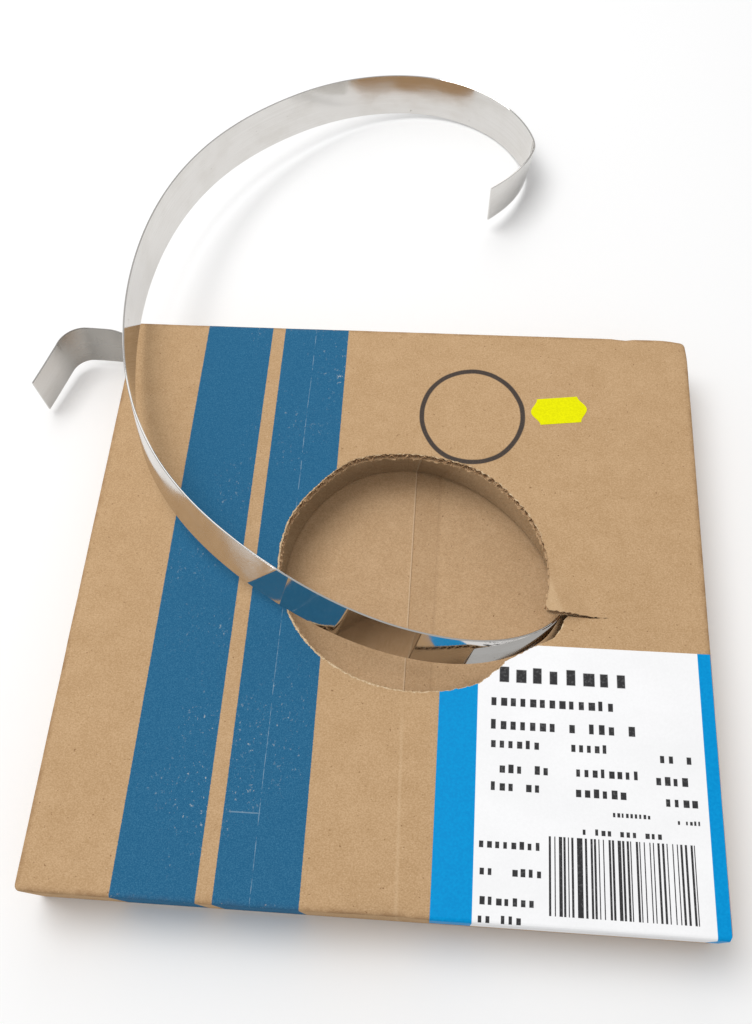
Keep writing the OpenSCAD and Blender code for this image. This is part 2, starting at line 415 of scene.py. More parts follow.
def paper_finish(tree, shader, colour, relief, rough=0.82, depth=0.06 * mm):
    """Joins colour and relief to the shader as matt paper."""
    tree.links.new(colour, shader["Base Color"])
    bump = node(tree, "Bump", Strength=0.6, Distance=depth, Height=relief)[0]
    tree.links.new(bump, shader["Normal"])
    tree.links.new(ramp(tree, relief, 0.2, 0.9, rough - 0.08, rough + 0.08), shader["Roughness"])
    shader["Specular IOR Level"].default_value = 0.05


# Printed outside: two stripes run over the front fold, rubbed in specks, with a long and a short scratch.
stripe_blue, stripe_worn = rgb(8, 92, 133), rgb(72, 138, 172)
# Each edge of a stripe: its place, its drift along the carton and the side that is inked.
stripe_edges = ((-82.5 * mm, 0, 1), (-55.0 * mm, -0.004, -1),
                (-49.65 * mm, -0.0055, 1), (-22.5 * mm, -0.0125, -1))
printed, tree, shader = new_finish("printed_board")
at, colour, relief = kraft(tree)
x, y, z = node(tree, "SeparateXYZ", Vector=at)[:3]
bleed = calc(tree, "MULTIPLY_ADD", grain(tree, at, (2200, 2200, 2200), 2.0), 0.4 * mm, -0.2 * mm)
x_print = plus(tree, x, bleed)
sides = []
for middle, drift, way in stripe_edges:
    past = less(tree, x_print, calc(tree, "MULTIPLY_ADD", y, drift, middle))
    sides.append(ramp(tree, times(tree, past, way), -0.12 * mm, 0.12 * mm))
stripes = plus(tree, times(tree, *sides[:2]), times(tree, *sides[2:]))
stripes = times(tree, stripes, ramp(tree, y, side / 2 - 0.6 * mm, side / 2 - 0.3 * mm, 1, 0))
ink_grain = grain(tree, at, (2600, 3000, 3000), 3.0, 0.65)
ink = tint(tree, ramp(tree, ink_grain, 0.4, 0.72, 0.0, 0.5), stripe_blue, stripe_worn)
rub_here = ramp(tree, grain(tree, at, (26, 20, 26), 2.0), 0.44, 0.68)
rub = ramp(tree, grain(tree, at, (900, 650, 900), 4.0, 0.7), 0.60, 0.72)
ink = tint(tree, times(tree, times(tree, rub, rub_here), 0.75), ink, rgb(196, 200, 196))
drift = calc(tree, "MULTIPLY_ADD", grain(tree, at, (0, 12, 0), 2.0), 2.4 * mm, -1.2 * mm)
scratch = between(tree, plus(tree, x, drift), -37.3 * mm, -37.15 * mm, 0.08 * mm)
broken = ramp(tree, grain(tree, at, (0, 160, 0), 3.0, 0.7), 0.42, 0.56)
ink = tint(tree, times(tree, times(tree, scratch, broken), 0.6), ink, rgb(176, 196, 208))
cross_line = between(tree, plus(tree, y, drift), -84.9 * mm, -84.5 * mm, 0.1 * mm)
cross_line = times(tree, cross_line, between(tree, x, -47 * mm, -37.4 * mm, 1.2 * mm))
ink = tint(tree, times(tree, cross_line, 0.35), ink, rgb(170, 192, 204))
colour = tint(tree, times(tree, stripes, 0.97), colour, ink)

# A hand-drawn marker ring behind the hole, one uneven stroke.
ring_x, ring_y, ring_a, ring_b = 28.2 * mm, 73.7 * mm, 19.7 * mm, 21.2 * mm
wobble = calc(tree, "MULTIPLY_ADD", grain(tree, at, (45, 45, 0), 2.0), 0.07, -0.035)
dx = calc(tree, "DIVIDE", less(tree, x, ring_x), ring_a)
dy = calc(tree, "DIVIDE", less(tree, y, ring_y), ring_b)
round_at = calc(tree, "SQRT", plus(tree, times(tree, dx, dx), times(tree, dy, dy)))
stroke = between(tree, plus(tree, round_at, wobble), 0.955, 1.05, 0.012)
stroke = times(tree, stroke, ramp(tree, z, tall - 0.6 * mm, tall - 0.3 * mm))
stroke = times(tree, stroke, ramp(tree, ink_grain, 0.25, 0.5, 0.8, 0.95))
colour = tint(tree, stroke, colour, rgb(58, 55, 56))

# The flap is painted paler in front of its crease: painted light where it is bent up.
crease_x = calc(tree, "MULTIPLY_ADD", y, -0.315, 60.4 * mm)
painted_flap_light = ramp(tree, less(tree, x, crease_x), -1.5 * mm, 0.6 * mm, 1, 0)
on_flap = times(tree, ramp(tree, y, 1 * mm, 9 * mm, 1, 0), ramp(tree, y, -10.5 * mm, -9.8 * mm))
painted_flap_light = times(tree, times(tree, painted_flap_light, on_flap), ramp(tree, x, 50 * mm, 54 * mm, 0, 0.3))
colour = tint(tree, painted_flap_light, colour, rgb(226, 197, 158))

# One flute standing up as a faint ridge from the hole to the front fold is drawn as a painted highlight.
ridge_x = less(tree, x, calc(tree, "MULTIPLY_ADD", y, -0.028, 6.5 * mm))
painted_ridge_highlight = between(tree, ridge_x, -0.5 * mm, 0.5 * mm, 0.5 * mm)
painted_ridge_highlight = times(tree, painted_ridge_highlight, ramp(tree, y, -56 * mm, -44 * mm, 0.2, 0))
colour = tint(tree, painted_ridge_highlight, colour, rgb(226, 198, 162))

# Folds: darker along the creases in uneven patches, with bare paler paper where the corners rubbed.
far = calc(tree, "MAXIMUM", calc(tree, "ABSOLUTE", x), calc(tree, "ABSOLUTE", y))
crease = ramp(tree, far, side / 2 - 2.4 * mm, side / 2 - 0.4 * mm)
crease = times(tree, crease, ramp(tree, z, tall - 4 * mm, tall - 1.2 * mm))
fold_darkening = times(tree, crease, ramp(tree, grain(tree, at, (150, 150, 150), 4.0), 0.35, 0.7, 0.1, 0.5))
fold_darkening = times(tree, fold_darkening, calc(tree, "MULTIPLY_ADD", stripes, -0.8, 1.0))
colour = tint(tree, fold_darkening, colour, rgb(120, 84, 52))
chafe = times(tree, crease, ramp(tree, grain(tree, at, (420, 420, 420), 4.0, 0.7), 0.62, 0.7))
colour = tint(tree, times(tree, chafe, 0.6), colour, rgb(214, 188, 154))
paper_finish(tree, shader, colour, relief)

# Bare board inside: darker beside the floor seam, up to a pressed line drawn as a dark line of painted shade,
# with a pale cut edge.
bare, tree, shader = new_finish("bare_board")
at, colour, relief = kraft(tree, rgb(208, 175, 138), rgb(181, 147, 109))
x, _, z = node(tree, "SeparateXYZ", Vector=at)[:3]
on_floor = ramp(tree, z, board + 0.2 * mm, board + 0.1 * mm)
painted_groove_shade = times(tree, between(tree, x, 16.5 * mm, 17.7 * mm, 0.25 * mm), on_floor)
colour = tint(tree, times(tree, painted_groove_shade, 0.12), colour, kraft_dark)
lap = times(tree, between(tree, x, seam_x, 17 * mm, 0.2 * mm), on_floor)
colour = tint(tree, times(tree, lap, 0.1), colour, kraft_dark)
cut_edge = between(tree, x, seam_x - 0.45 * mm, seam_x + 0.05 * mm, 0.1 * mm)
cut_edge = times(tree, cut_edge, on_floor)
colour = tint(tree, times(tree, cut_edge, 0.4), colour, rgb(226, 203, 172))
paper_finish(tree, shader, colour, relief)

# Torn paper: pulled fibres, paler than the faces.
torn, tree, shader = new_finish("torn_board")
at, colour, relief = kraft(tree, rgb(228, 207, 174), rgb(180, 148, 108))
pulled = grain(tree, at, (1500, 1500, 3500), 4.0, 0.7)
colour = tint(tree, ramp(tree, pulled, 0.55, 0.75, 0, 0.6), colour, rgb(236, 220, 192))
paper_finish(tree, shader, colour, pulled, 0.9, 0.15 * mm)

# Which face has which of the three finishes, by its place and the way it looks.
board_finishes = (printed, bare, torn)
is_printed, is_bare, is_torn = range(3)
for finish in board_finishes:
    carton.data.materials.append(finish)
near_hole = hole_r + 16 * mm
for face in carton.data.polygons:
    c, n = face.center, face.normal
    out = max(abs(c.x), abs(c.y))
    off_hole = math.hypot(c.x - hole.x, c.y - hole.y)
    peeled = off_hole < near_hole and tall - 1.5 * peel < c.z < tall - 0.5 * peel
    on_top = n.z > 0.5 and c.z > tall - 2.5 * mm and (c.z > tall - 0.2 * mm or out > inner)
    on_wall = out > side / 2 - 2.6 * mm and (n.x * c.x + n.y * c.y) > 0 and n.z > -0.3
    in_hollow = top_under + liner < c.z < tall - liner
    hole_edge = out < inner and c.z > top_under - 0.1 * mm and abs(n.z) < 0.6 and not in_hollow
    by_slot = c.x < -inner + 0.5 * mm and abs(c.y - slot_y) < 3 * mm
    slot_edge = by_slot and out < side / 2 - 0.05 * mm and 2 * mm < c.z < 23 * mm
    if peeled:
        face.material_index = is_torn
    elif on_top or on_wall:
        face.material_index = is_printed
    elif hole_edge or slot_edge:
        face.material_index = is_torn
    else:
        face.material_index = is_bare
for sheet, upper in zip(flap_sheets, (True, False)):
    for finish in board_finishes:
        sheet.data.materials.append(finish)
    for face in sheet.data.polygons:
        flat_finish = is_printed if upper and face.normal.z > 0 else is_bare
        face.material_index = is_torn if abs(face.normal.z) < 0.55 else flat_finish
flutes.data.materials.append(bare)
start_piece()
for o in (*flap_sheets, flutes, carton):
    o.select_set(True)
bpy.context.view_layer.objects.active = carton
bpy.ops.object.join()
bpy.ops.object.shade_smooth_by_angle(angle=math.radians(38))
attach(carton, "root")
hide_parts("carton")

# Steel band: one length of bright rolled stainless strip, slit 19 mm wide and wound tight into a coil.
# Its inner end is pulled out through the hole in a wide loop, and its outer end leaves the left wall as a
# bent hook.
band_w, band_t, slit_r = 19.05 * mm, 0.76 * mm, 0.22 * mm
strip_play = 0.2 * mm
map_inner, map_hook = 0.03, 0.1
coil_r, bore_r = 110 * mm, 67.21 * mm
strip_len, steps = side * 4.1228, 234
# Along the free strip, at even places: its turn in degrees, its rise in band widths and its lean in degrees.
turn_rows = [77.2, 55.6, 67.5, 46.9, 85.4, 37.0, 75.0, 30.9, 18.5,
             33.0, 14.5, 17.0, 26.0, 21.3, 50.5, 67.6, 52.8]
rise_rows = [0, 0, 0, 0, 0, 0, 0.115, 0.892, 1.512, 1.748, 1.57, 1.244, 0.835, 0.394, -0.026, -0.163, 0.173]
lean_rows = [0, 0, 0, 0, 0, 0, -6, 10, 15, 11, 0, -6, -10, -13, -16, -14, 1]
tear_angle, tear_at, tear_len = 34.9, 0.3691 * strip_len, 0.0383 * strip_len
tip_angle, tip_at, tip_len = 23.3, strip_len - 38 * mm, 0.0106 * strip_len
leave = 1.0
ds = strip_len / steps
last = len(turn_rows) - 1


def eased(t):
    """A soft start and end between nought and one."""
    t = min(max(t, 0), 1)
    return t * t * (3 - 2 * t)


def smooth_row(rows, i):
    """The value of a row at a step, bending smoothly through its numbers."""
    x = min(max(i / steps, 0), 1) * last
    k = min(int(x), last - 1)
    t = x - k
    a, b, c, d = rows[max(k - 1, 0)], rows[k], rows[k + 1], rows[min(k + 2, last)]
    return b + t / 2 * (c - a + t * (2 * a - 5 * b + 4 * c - d + t * (3 * (b - c) + d - a)))


def named_bends(i):
    """How much of the two tight bends, by the tear and near the tip, lies before a step, in degrees."""
    return (tear_angle * eased((i * ds - tear_at) / tear_len + 0.5)
            + tip_angle * eased((i * ds - tip_at) / tip_len + 0.5))


def mid_z(i):
    """Height of the strip's middle line."""
    r = smooth_row(rise_rows, i)
    return board + band_w / 2 + strip_play + band_w * (r if i > steps / 2 else max(0, r))


def climb(i):
    """Slope of the strip's middle line."""
    a, b = max(i - 0.5, 0), min(i + 0.5, steps)
    return math.asin((mid_z(b) - mid_z(a)) / ((b - a) * ds))


heading = [leave - 90]
for i in range(steps):
    x = min((i + 0.5) / steps, 1) * last
    rate = np.interp(x, range(last + 1), turn_rows) * last / strip_len
    heading.append(heading[-1] - rate * ds - named_bends(i + 1) + named_bends(i))
centre = [Vector((math.cos(math.radians(leave)), math.sin(math.radians(leave)))) * (bore_r - band_t)]
for i in range(steps):
    h = math.radians((heading[i] + heading[i + 1]) / 2)
    centre.append(centre[-1] + ds * math.cos(climb(i + 0.5)) * Vector((math.cos(h), math.sin(h))))


def station(i, back=0.0):
    """Middle of the strip at a step, and the direction across its width."""
    h, c, lean = math.radians(heading[i]), climb(i), math.radians(smooth_row(lean_rows, i))
    along = Vector((math.cos(c) * math.cos(h), math.cos(c) * math.sin(h), math.sin(c)))
    up = Vector((-math.sin(c) * math.cos(h), -math.sin(c) * math.sin(h), math.cos(c)))
    across = math.cos(lean) * up + math.sin(lean) * along.cross(up)
    return Vector((centre[i].x, centre[i].y, mid_z(i))) - back * along, across


def finer(rows, parts):
    """The same line with more points on it, bending smoothly through those it had."""
    p = np.array(rows)
    p = np.vstack([2 * p[0] - p[1], p, 2 * p[-1] - p[-2]])
    a, b, c, d = p[:-3], p[1:-2], p[2:-1], p[3:]
    t = (np.arange(parts) / parts)[None, :, None]
    a, b, c, d = (q[:, None, :] for q in (a, b, c, d))
    q = b + t / 2 * (c - a + t * (2 * a - 5 * b + 4 * c - d + t * (3 * (b - c) + d - a)))
    return np.vstack([q.reshape(-1, p.shape[1]), p[-2:-1]])


def swept_strip(name, middles, across, map_up=0.0):
    """Strip with rounded slit edges, swept along its middle line. Its map is in metres along and across."""
    middles, across = np.array(middles, float), np.array(across, float)
    across /= np.linalg.norm(across, axis=1)[:, None]
    along = np.gradient(middles, axis=0)
    face = np.cross(along, across)
    face /= np.linalg.norm(face, axis=1)[:, None]
    w, t, r = band_w / 2, band_t / 2, slit_r
    section = [(-w, r - t), (r - w, -t), (0, -t), (w - r, -t), (w, r - t),
               (w, t - r), (w - r, t), (0, t), (r - w, t), (-w, t - r)]
    n = len(section)
    verts = np.concatenate([[m + a * s[0] + f * s[1] for s in section]
                            for m, a, f in zip(middles, across, face)])
    quads = [(i * n + k, i * n + (k + 1) % n, (i + 1) * n + (k + 1) % n, (i + 1) * n + k)
             for i in range(len(middles) - 1) for k in range(n)]
    caps = [tuple(range(n - 1, -1, -1)), tuple(range(len(verts) - n, len(verts)))]
    data = bpy.data.meshes.new(name)
    data.from_pydata(verts.tolist(), [], quads + caps)
    made = bpy.data.objects.new(name, data)
    bpy.context.scene.collection.objects.link(made)
    run = np.concatenate([[0], np.cumsum(np.linalg.norm(np.diff(middles, axis=0), axis=1))])
    layer = data.uv_layers.new(name="rolled")
    for loop in data.loops:
        i, k = divmod(loop.vertex_index, n)
        over = map_inner if section[k][1] > 0 else 0
        layer.data[loop.index].uv = (run[i], map_up + section[k][0] + over)
    start_piece()
    made.select_set(True)
    bpy.context.view_layer.objects.active = made
    bpy.ops.object.mode_set(mode="EDIT")
    bpy.ops.mesh.select_all(action="SELECT")
    bpy.ops.mesh.normals_make_consistent(inside=False)
    bpy.ops.object.mode_set(mode="OBJECT")
    return made


first, tucked = 5, 24 * mm
stations = [station(first, tucked)] + [station(i) for i in range(first, steps + 1)]
loose = swept_strip("loose_end", finer([s[0] for s in stations], 4), finer([s[1] for s in stations], 4))

# Outer end: straight along the back wall and out of the slot, leaning back, then one bend and the cut leg.
hook_out, hook_leg = 23 * mm, 20.5 * mm
hook_angle, hook_lean, hook_rise = 71.5, 9, 1.3 * mm
hook_r = 9 * mm + band_t / 2
hook_arc = hook_r * math.radians(hook_angle)


def hook_station(s):
    """Middle of the band at a distance from the wall, and the direction across its width."""
    bent = min(max(s - hook_out, 0), hook_arc) / hook_arc
    h = math.radians(180 + hook_angle * bent)
    along = Vector((math.cos(h), math.sin(h), 0))
    foot = Vector((-side / 2 - min(s, hook_out), coil_r - hook_in - band_t / 2, board + hook_play))
    foot += max(s - hook_out - hook_arc, 0) * along + hook_r * Vector((math.sin(h), -1 - math.cos(h), 0))
    foot.z += hook_rise * eased(s / hook_out) * (1 - eased((s - hook_out) / (hook_arc + hook_leg)))
    lean = math.radians(hook_lean * eased(s / hook_out * 1.8) * (1 - bent / 2))
    across = math.cos(lean) * Vector((0, 0, 1)) + math.sin(lean) * along.cross(Vector((0, 0, 1)))
    return foot + across * band_w / 2, across


hook_end = hook_out + hook_arc + hook_leg
inside_run = np.linspace(-120 * mm, -4 * mm, 30)
outside_run = np.arange(-2 * mm, hook_end + 0.1 * mm, 0.5 * mm)
hook_line = [hook_station(float(s)) for s in np.concatenate([inside_run, outside_run])]
hook = swept_strip("hooked_end", [p[0] for p in hook_line], [p[1] for p in hook_line], map_hook)

# Tight turns: the section of all of them side by side, their edges not quite level, spun round the bore.
turns = 56
pitch = (coil_r - bore_r) / turns
coil_top, blunt, groove, uneven = board + band_w, 0.3 * mm, 0.35 * mm, 0.1 * mm
profile = [(bore_r, board + blunt), (bore_r, coil_top - blunt)]
for k in range(turns):
    proud = uneven * wander(k * 0.9, 0.4, 7) - uneven
    profile += [(bore_r + (k + part) * pitch, coil_top + proud) for part in (0.22, 0.78)]
    if k < turns - 1:
        profile.append((bore_r + (k + 1) * pitch, coil_top - groove))
profile += [(coil_r, coil_top - blunt), (coil_r, board + blunt)]
for k in reversed(range(turns)):
    profile += [(bore_r + (k + part) * pitch, board) for part in (0.78, 0.22)]
    if k:
        profile.append((bore_r + k * pitch, board + groove))
start_piece()
bpy.ops.mesh.primitive_circle_add(vertices=len(profile), radius=1, fill_type="NOTHING")
coil = bpy.context.object
for v, (r, z) in zip(coil.data.vertices, profile):
    v.co = (r, 0, z)
bpy.ops.object.mode_set(mode="EDIT")
bpy.ops.mesh.select_all(action="SELECT")
bpy.ops.mesh.spin(steps=144, angle=2 * math.pi, center=(0, 0, 0), axis=(0, 0, 1))
bpy.ops.mesh.select_all(action="SELECT")
bpy.ops.mesh.remove_doubles(threshold=0.01 * mm)
bpy.ops.mesh.normals_make_consistent(inside=False)
bpy.ops.object.mode_set(mode="OBJECT")
layer = coil.data.uv_layers.new(name="rolled")
for face in coil.data.polygons:
    start = math.atan2(face.center.y, face.center.x)
    for k in face.loop_indices:
        p = coil.data.vertices[coil.data.loops[k].vertex_index].co
        a = math.atan2(p.y, p.x)
        a += 2 * math.pi * round((start - a) / (2 * math.pi))
        layer.data[k].uv = (a * bore_r, p.z + math.hypot(p.x, p.y))

# Bright rolled finish: fine lines along the strip, faint cloudy bloom and a few dark specks from handling.
rolled, tree, shader = new_finish("rolled_stainless")
flow = node(tree, "UVMap", {"uv_map": "rolled"})[0]
lines = grain(tree, flow, (14, 5200, 1), 3.0, 0.6)
bloom = grain(tree, flow, (55, 90, 1), 4.0, 0.6)
specks = grain(tree, flow, (420, 620, 1), 2.0, 0.5)
spots = times(tree, ramp(tree, specks, 0.72, 0.78), ramp(tree, bloom, 0.42, 0.58))
steel = tint(tree, ramp(tree, lines, 0.3, 0.7), rgb(213, 210, 206), rgb(223, 221, 218))
steel = tint(tree, times(tree, ramp(tree, bloom, 0.4, 0.75), 0.3), steel, rgb(194, 189, 181))
steel = tint(tree, times(tree, spots, 0.65), steel, rgb(96, 84, 72))
# The hooked end, mapped apart from the rest, is rougher, and its colour is painted reflection: grey along it
# and brownish in its bend.
run, rolled_v = node(tree, "SeparateXYZ", Vector=flow)[:2]
hooked = ramp(tree, rolled_v, 0.05, 0.06)
dull_and_painted_reflection = times(tree, hooked, ramp(tree, run, 0.150, 0.164, 0.9, 0.25))
steel = tint(tree, dull_and_painted_reflection, steel, rgb(158, 155, 150))
painted_brown_reflection = times(tree, hooked, between(tree, run, 0.145, 0.154, 0.005))
painted_brown_reflection = times(tree, painted_brown_reflection, ramp(tree, rolled_v, 0.1, 0.11, 0.1, 0.3))
steel = tint(tree, painted_brown_reflection, steel, rgb(134, 112, 86))
tree.links.new(steel, shader["Base Color"])
shader["Metallic"].default_value = 1.0
gloss = calc(tree, "MULTIPLY_ADD", lines, 0.05, ramp(tree, bloom, 0.35, 0.75, 0.045, 0.12))
gloss = calc(tree, "MULTIPLY_ADD", dull_and_painted_reflection, 0.2, gloss)
tree.links.new(calc(tree, "MULTIPLY_ADD", spots, 0.3, gloss), shader["Roughness"])
# What the strip mirrors: its shading normal is turned across its width, with no change of shape.
outer_start, outer_bow = 0.75, -5.43
# Where along the strip each change starts and ends, in metres, and the change in the tangent of the turn.
outer_turns = ((0.380, 0.398, -0.39), (0.4135, 0.4145, -0.48), (0.440, 0.443, 0.265), (0.446, 0.456, -0.125),
               (0.4640, 0.4641, 0.19), (0.466, 0.474, -0.05), (0.474, 0.510, -0.13))
inner_turns = ((0.74, 0.79, -0.055), (0.80, 0.82, 0.022), (0.836, 0.856, -0.02))
bow = times(tree, rolled_v, outer_bow)
outer_dish = calc(tree, "MULTIPLY_ADD", bow, ramp(tree, run, 0.443, 0.450), outer_start)
for start, end, turn in outer_turns:
    outer_dish = plus(tree, outer_dish, ramp(tree, run, start, end, 0, turn))
# One change runs aslant, and below the top panel the strip by the tear turns up to mirror the sky.
slanting = calc(tree, "MULTIPLY_ADD", rolled_v, 0.49, run)
outer_dish = plus(tree, outer_dish, ramp(tree, slanting, 0.4728, 0.4742, 0, 0.13))
sunk = calc(tree, "MULTIPLY_ADD", run, 0.268, rolled_v)
low_edge = times(tree, ramp(tree, sunk, 0.1083, 0.1095, 3, 0), ramp(tree, run, 0.391, 0.394, 1, 0))
outer_dish = plus(tree, outer_dish, low_edge)
outer_part = times(tree, ramp(tree, run, 0.33, 0.35), ramp(tree, run, 0.58, 0.64, 1, 0))
outer_dish = times(tree, outer_dish, outer_part)
inner_dish = 0.0
for start, end, turn in inner_turns:
    inner_dish = plus(tree, inner_dish, ramp(tree, run, start, end, 0, turn))
inner_dish = times(tree, inner_dish, ramp(tree, run, 0.87, 0.90, 1, 0))
outer_side = ramp(tree, rolled_v, 0.014, 0.016, 1, 0)
dish = node(tree, "Mix", {"data_type": "FLOAT"}, i0=outer_side, i2=inner_dish, i3=outer_dish)[0]
dish = times(tree, dish, less(tree, 1.0, hooked))
surface = node(tree, "NewGeometry")[1]
lengthways = node(tree, "Tangent", {"direction_type": "UV_MAP", "uv_map": "rolled"})[0]
edgeways = node(tree, "VectorMath", {"operation": "CROSS_PRODUCT"}, i0=lengthways, i1=surface)[0]
by_dish = node(tree, "CombineXYZ", X=dish, Y=dish, Z=dish)[0]
turned = node(tree, "VectorMath", {"operation": "MULTIPLY_ADD"}, i0=edgeways, i1=by_dish, i2=surface)[0]
turned = node(tree, "VectorMath", {"operation": "NORMALIZE"}, i0=turned)[0]
scored = node(tree, "Bump", Strength=0.25, Distance=0.008 * mm, Height=lines, Normal=turned)[0]
tree.links.new(scored, shader["Normal"])
start_piece()
for o in (loose, hook, coil):
    o.data.materials.append(rolled)
    o.select_set(True)
bpy.context.view_layer.objects.active = coil
bpy.ops.object.join()
band = coil
band.name = band.data.name = "band_steel"
bpy.ops.object.shade_smooth_by_angle(angle=math.radians(40))
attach(band, "root")
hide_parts("steel_band")

# Product label: a sheet of white coated paper glued over the front edge of the top, torn away with the hole.
# It is printed with two bright blue bars, rows of dark blocks and a field of upright bars.
paper = 0.15 * mm
label_x0, label_x1 = 20.3 * mm, 113.5 * mm
label_back, label_low = -21 * mm, 9.25 * mm
at_fold = -side / 2 + 0.01 * mm
start_piece()
bpy.ops.mesh.primitive_grid_add(x_subdivisions=60, y_subdivisions=60, size=1)
label = bpy.context.object
label.name = label.data.name = "label_sheet"
co = places(label)
across_label = label_x0 + (co[:, 0] + 0.5) * (label_x1 - label_x0)
back_label = -side / 2 + (co[:, 1] + 0.5) * (label_back + side / 2)
set_places(label, np.column_stack([across_label, back_label, np.full(len(co), tall)]))
bpy.ops.object.mode_set(mode="EDIT")
pick(label, "EDGE", lambda e: all(v.co.y < at_fold for v in e.verts))
bpy.ops.mesh.extrude_region_move(TRANSFORM_OT_translate={"value": (0, 0, label_low - tall)})
pick(label, "EDGE", lambda e: all(v.co.y < at_fold and v.co.z > tall - 0.01 * mm for v in e.verts))
bpy.ops.mesh.bevel(offset=rim_r, segments=3, affect="EDGES")
bpy.ops.mesh.select_all(action="SELECT")
bpy.ops.mesh.normals_make_consistent(inside=False)
bpy.ops.object.mode_set(mode="OBJECT")
if label.data.polygons[0].normal.z < 0:
    label.data.flip_normals()
set_places(label, lean_front(places(label)))
thick = label.modifiers.new("paper", "SOLIDIFY")
thick.thickness, thick.offset = paper, 1
bpy.ops.object.modifier_apply(modifier=thick.name)
carve(label, prism(hole_outline(11, out=0.25, rag=0.5), tall - cutter_past, tall + cutter_past))
corner_cut = [Vector(p) * mm for p in ((111.2, -118), (113.8, -112), (118, -112), (118, -118))]
carve(label, prism(corner_cut, 0, tall + cutter_past))

# Coated paper, its bars and its rows of blocks.
coated, tree, shader = new_finish("coated_paper")
at = node(tree, "TexCoord")[3]
x, y, z = node(tree, "SeparateXYZ", Vector=at)[:3]
fibre = grain(tree, at, (1200, 1200, 1200), 4.0, 0.6)
sheet_tone = grain(tree, at, (30, 45, 45), 3.0)
sheet_tone = calc(tree, "MULTIPLY_ADD", fibre, 0.4, times(tree, sheet_tone, 0.6))
colour = tint(tree, ramp(tree, sheet_tone, 0.3, 0.7), rgb(242, 242, 243), rgb(249, 249, 250))
left_bar = between(tree, x, 20 * mm, 33.5 * mm, 0.08 * mm)
bars = plus(tree, left_bar, between(tree, x, 109.1 * mm, 115 * mm, 0.08 * mm))
blue = tint(tree, ramp(tree, fibre, 0.3, 0.75), rgb(0, 140, 206), rgb(4, 152, 216))
colour = tint(tree, bars, colour, blue)
# The printed rows: left, right and middle of the row, height of the blocks and their spacing, in millimetres.
rows = [(40.5, 86.5, -32.2, 5.6, 5.75), (38.0, 80.5, -41.8, 3.4, 3.3), (38.0, 87.6, -50.0, 3.4, 3.3),
        (38.2, 56.3, -56.6, 2.9, 2.9), (65.0, 77.6, -56.6, 2.9, 2.6), (91.3, 107.4, -58.6, 2.9, 2.9),
        (38.3, 58.6, -65.0, 2.9, 2.9), (63.8, 87.4, -64.8, 2.9, 2.7), (92.6, 106.1, -66.0, 2.9, 2.8),
        (38.4, 59.0, -70.9, 2.9, 2.9), (66.3, 84.0, -71.5, 2.9, 2.9), (95.4, 107.2, -72.8, 2.9, 2.8),
        (76.8, 90.7, -78.0, 1.4, 1.4), (98.9, 106.8, -79.1, 1.4, 1.3), (68.3, 94.5, -83.9, 2.0, 2.0),
        (35.0, 55.6, -89.6, 2.5, 2.6), (35.4, 55.7, -98.0, 2.5, 2.6), (35.6, 55.6, -107.0, 2.5, 2.6),
        (35.2, 50.0, -112.4, 2.4, 2.4)]
printed_rows = None
for left, right, middle, height, spacing in rows:
    right = left + spacing * int((right - left) / spacing + 0.3)
    place = calc(tree, "DIVIDE", less(tree, x, left * mm), spacing * mm)
    cell = node(tree, "CombineXYZ", X=calc(tree, "FLOOR", place), Y=middle)[0]
    chance, chances = node(tree, "TexWhiteNoise", {"noise_dimensions": "2D"}, Vector=cell)[:2]
    wide, high, _ = node(tree, "SeparateXYZ", Vector=chances)[:3]
    in_cell = calc(tree, "FRACT", place)
    block_end = calc(tree, "MULTIPLY_ADD", wide, 0.3, 0.48)
    to_end = less(tree, block_end, in_cell)
    mark = times(tree, ramp(tree, in_cell, 0.03, 0.09), ramp(tree, to_end, 0, 0.05))
    up_row = calc(tree, "DIVIDE", less(tree, y, (middle - height / 2) * mm), height * mm)
    top_end = calc(tree, "MULTIPLY_ADD", calc(tree, "GREATER_THAN", high, 0.7), 0.16, 0.84)
    to_top = less(tree, top_end, up_row)
    high_part = times(tree, ramp(tree, up_row, -0.03, 0.03), ramp(tree, to_top, -0.03, 0.03))
    in_row = between(tree, x, left * mm, right * mm, 0.06 * mm)
    in_row = times(tree, in_row, calc(tree, "GREATER_THAN", chance, 0.1))
    mark = times(tree, times(tree, mark, high_part), in_row)
    printed_rows = mark if printed_rows is None else calc(tree, "MAXIMUM", printed_rows, mark)
printed_rows = times(tree, printed_rows, ramp(tree, z, tall - 1.6 * mm, tall - 1.3 * mm))
# The field of upright bars: one in each cell, thin or thick by chance, and standing for no code.
field_x0, field_x1, field_y0, field_y1 = 57.5 * mm, 103.9 * mm, -110.3 * mm, -86 * mm
bar_cell, bar_unit = 1.44 * mm, 0.25
place = calc(tree, "DIVIDE", less(tree, x, field_x0), bar_cell)
chance, chances = node(tree, "TexWhiteNoise", {"noise_dimensions": "1D"}, W=calc(tree, "FLOOR", place))[:2]
late = calc(tree, "GREATER_THAN", node(tree, "SeparateXYZ", Vector=chances)[1], 0.5)
bar_start = times(tree, late, bar_unit)
thicker = calc(tree, "FLOOR", times(tree, chance, 2.4))
bar_wide = calc(tree, "MULTIPLY_ADD", thicker, bar_unit, bar_unit)
in_bar = less(tree, calc(tree, "FRACT", place), bar_start)
upright = times(tree, calc(tree, "GREATER_THAN", in_bar, 0), calc(tree, "LESS_THAN", in_bar, bar_wide))
field = between(tree, x, field_x0, field_x1, 0.04 * mm)
field = times(tree, field, between(tree, y, field_y0, field_y1, 0.06 * mm))
printed_rows = calc(tree, "MAXIMUM", printed_rows, times(tree, field, upright))
printed_rows = times(tree, printed_rows, ramp(tree, fibre, 0.25, 0.5, 0.88, 0.97))
colour = tint(tree, printed_rows, colour, rgb(26, 25, 27))
paper_finish(tree, shader, colour, fibre, 0.46, 0.02 * mm)
shader["Specular IOR Level"].default_value = 0.06
label.data.materials.append(coated)
bpy.ops.object.shade_smooth_by_angle(angle=math.radians(38))
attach(label, "root")
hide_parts("product_label")

